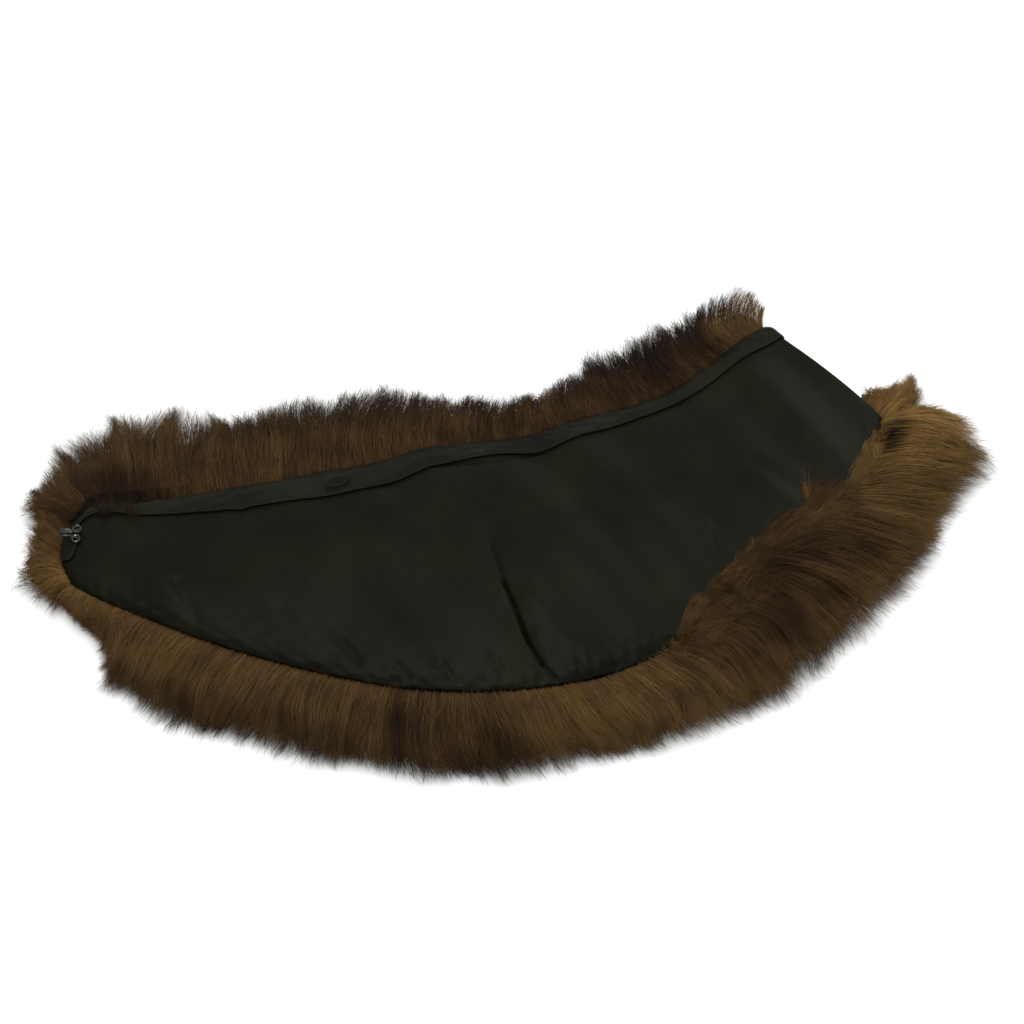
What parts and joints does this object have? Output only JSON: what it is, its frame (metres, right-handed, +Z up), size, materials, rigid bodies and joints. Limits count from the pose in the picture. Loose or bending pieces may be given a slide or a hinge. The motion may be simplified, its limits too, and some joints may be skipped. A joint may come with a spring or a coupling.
{
  "type": "fur collar wrap",
  "caption": "Detachable long-haired fur collar folded in half at its centre back and laid flat, with a dark satin lining, a neck band, a metal hook and a thread eye.",
  "frame": {"origin": "centre of the bounding box at the surface that the collar lies on", "axes": "+X from the tip with the hook to the folded centre back, +Y from the outer edge to the neck edge, +Z up, away from the surface"},
  "size_m": [0.4842, 0.2906, 0.0322],
  "materials": {
    "fur": "long soft fur, golden at the roots and dark brown at the tips",
    "lining_satin": "charcoal satin, soft sheen",
    "band_satin": "charcoal satin ribbon, soft sheen",
    "hook_metal": "nickel-coloured wire, worn",
    "eye_thread": "dark buttonhole thread"
  },
  "bodies": {
    "root": {"fur": "fur", "lining_upper": "lining_satin", "lining_lower": "lining_satin", "neck_band": "band_satin", "hook": "hook_metal", "thread_eye": "eye_thread"}
  },
  "joints": []
}
